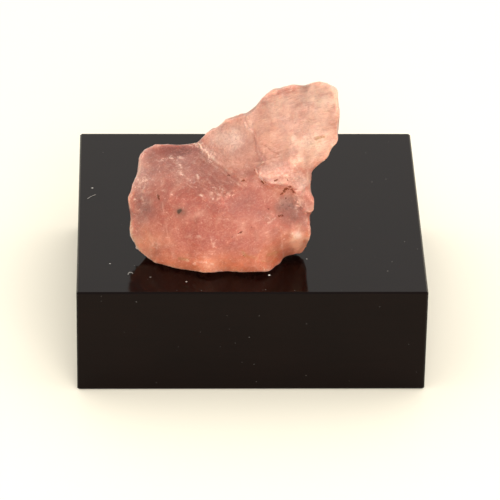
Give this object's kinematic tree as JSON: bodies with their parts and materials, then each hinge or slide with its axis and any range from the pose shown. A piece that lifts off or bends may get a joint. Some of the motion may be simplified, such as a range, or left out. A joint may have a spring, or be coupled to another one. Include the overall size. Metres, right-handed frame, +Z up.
{
  "type": "rough fluorite on display block",
  "caption": "Rough pink fluorite fragment, cleaved and translucent with a raised end lobe, standing on a low rectangular black display block.",
  "frame": {"origin": "centre of the display block's underside", "axes": "+Z up, +X to the right seen from the display side, +Y towards the back of the block, so the display side faces -Y"},
  "size_m": [0.04, 0.0362, 0.0331],
  "materials": {
    "fluorite": "translucent pink fluorite, vitreous on cleavage faces, frosted where bruised, orange iron stain along the foot",
    "display_block": "polished black acrylic with fine scratches and dust"
  },
  "bodies": {
    "root": {"display_block": "display_block", "fluorite": "fluorite"}
  },
  "joints": []
}
